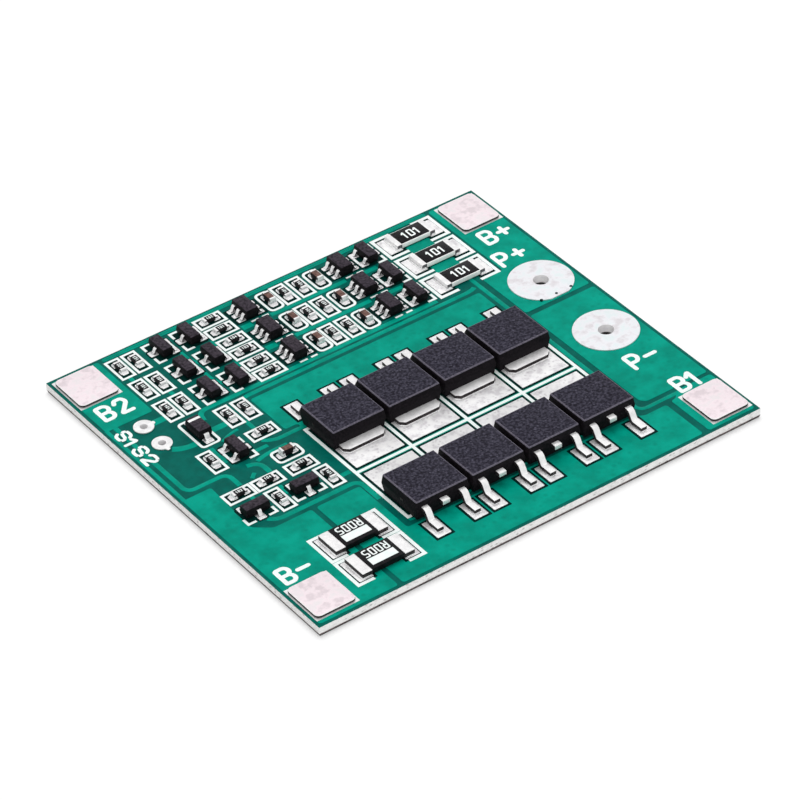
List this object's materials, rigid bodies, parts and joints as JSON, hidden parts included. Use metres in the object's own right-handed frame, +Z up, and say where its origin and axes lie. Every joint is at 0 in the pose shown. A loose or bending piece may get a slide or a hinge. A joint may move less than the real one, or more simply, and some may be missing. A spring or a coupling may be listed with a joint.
{
  "type": "battery management board",
  "caption": "Bare rectangular circuit board that guards and balances a small pack of cells, with weld tabs in its corners, wire pads, power transistors and shunts.",
  "frame": {"origin": "middle of the laminate's underside, on the surface it rests on", "axes": "+X along the long edge towards the output wire pads, +Y towards the edge with the rows of cell parts, +Z up out of the component side"},
  "size_m": [0.055, 0.05, 0.0036],
  "materials": {
    "solder_mask": "glossy green solder mask over copper on glass-epoxy laminate",
    "nickel_tab": "satin nickel sheet",
    "tinned_pad": "satin tinned copper",
    "tinned_land": "bright tinned copper",
    "tinned_lead": "bright tin plate",
    "mosfet_epoxy": "matte dark moulding compound",
    "small_epoxy": "dark moulding compound",
    "resistor_ceramic": "white fired ceramic with a black glaze on top",
    "shunt_coat": "black moulded coat between metal ends",
    "chip_black": "black glaze over dark fired ceramic, tinned ends",
    "capacitor_ceramic": "light brown fired ceramic, tinned ends",
    "silk_print": "white ink printed on the solder mask",
    "laminate_edge": "bare cut edge of the pale glass-epoxy laminate"
  },
  "bodies": {
    "root": {"board": "solder_mask", "weld_tab_b_minus": "nickel_tab", "weld_tab_b1": "nickel_tab", "weld_tab_b2": "nickel_tab", "weld_tab_b_plus": "nickel_tab", "output_pad_plus": "tinned_pad", "output_pad_minus": "tinned_pad", "switch_pads": "tinned_pad", "power_lands": "tinned_land", "signal_lands": "tinned_land", "mosfet_1_body": "mosfet_epoxy", "mosfet_2_body": "mosfet_epoxy", "mosfet_3_body": "mosfet_epoxy", "mosfet_4_body": "mosfet_epoxy", "mosfet_5_body": "mosfet_epoxy", "mosfet_6_body": "mosfet_epoxy", "mosfet_7_body": "mosfet_epoxy", "mosfet_8_body": "mosfet_epoxy", "mosfet_1_leadframe": "tinned_lead", "mosfet_2_leadframe": "tinned_lead", "mosfet_3_leadframe": "tinned_lead", "mosfet_4_leadframe": "tinned_lead", "mosfet_5_leadframe": "tinned_lead", "mosfet_6_leadframe": "tinned_lead", "mosfet_7_leadframe": "tinned_lead", "mosfet_8_leadframe": "tinned_lead", "protection_ic_1_body": "small_epoxy", "protection_ic_2_body": "small_epoxy", "protection_ic_3_body": "small_epoxy", "protection_ic_1_leads": "tinned_lead", "protection_ic_2_leads": "tinned_lead", "protection_ic_3_leads": "tinned_lead", "balance_ic_1_body": "small_epoxy", "balance_ic_2_body": "small_epoxy", "balance_ic_3_body": "small_epoxy", "balance_ic_1_leads": "tinned_lead", "balance_ic_2_leads": "tinned_lead", "balance_ic_3_leads": "tinned_lead", "transistor_1_body": "small_epoxy", "transistor_2_body": "small_epoxy", "transistor_3_body": "small_epoxy", "transistor_4_body": "small_epoxy", "transistor_5_body": "small_epoxy", "transistor_6_body": "small_epoxy", "transistor_7_body": "small_epoxy", "transistor_8_body": "small_epoxy", "transistor_9_body": "small_epoxy", "transistor_10_body": "small_epoxy", "transistor_11_body": "small_epoxy", "transistor_12_body": "small_epoxy", "transistor_leads": "tinned_lead", "diode_body": "small_epoxy", "diode_leads": "tinned_lead", "balance_resistor_1": "resistor_ceramic", "balance_resistor_2": "resistor_ceramic", "balance_resistor_3": "resistor_ceramic", "shunt_resistor_1": "shunt_coat", "shunt_resistor_2": "shunt_coat", "chip_resistors": "chip_black", "chip_capacitors": "capacitor_ceramic"}
  },
  "joints": []
}
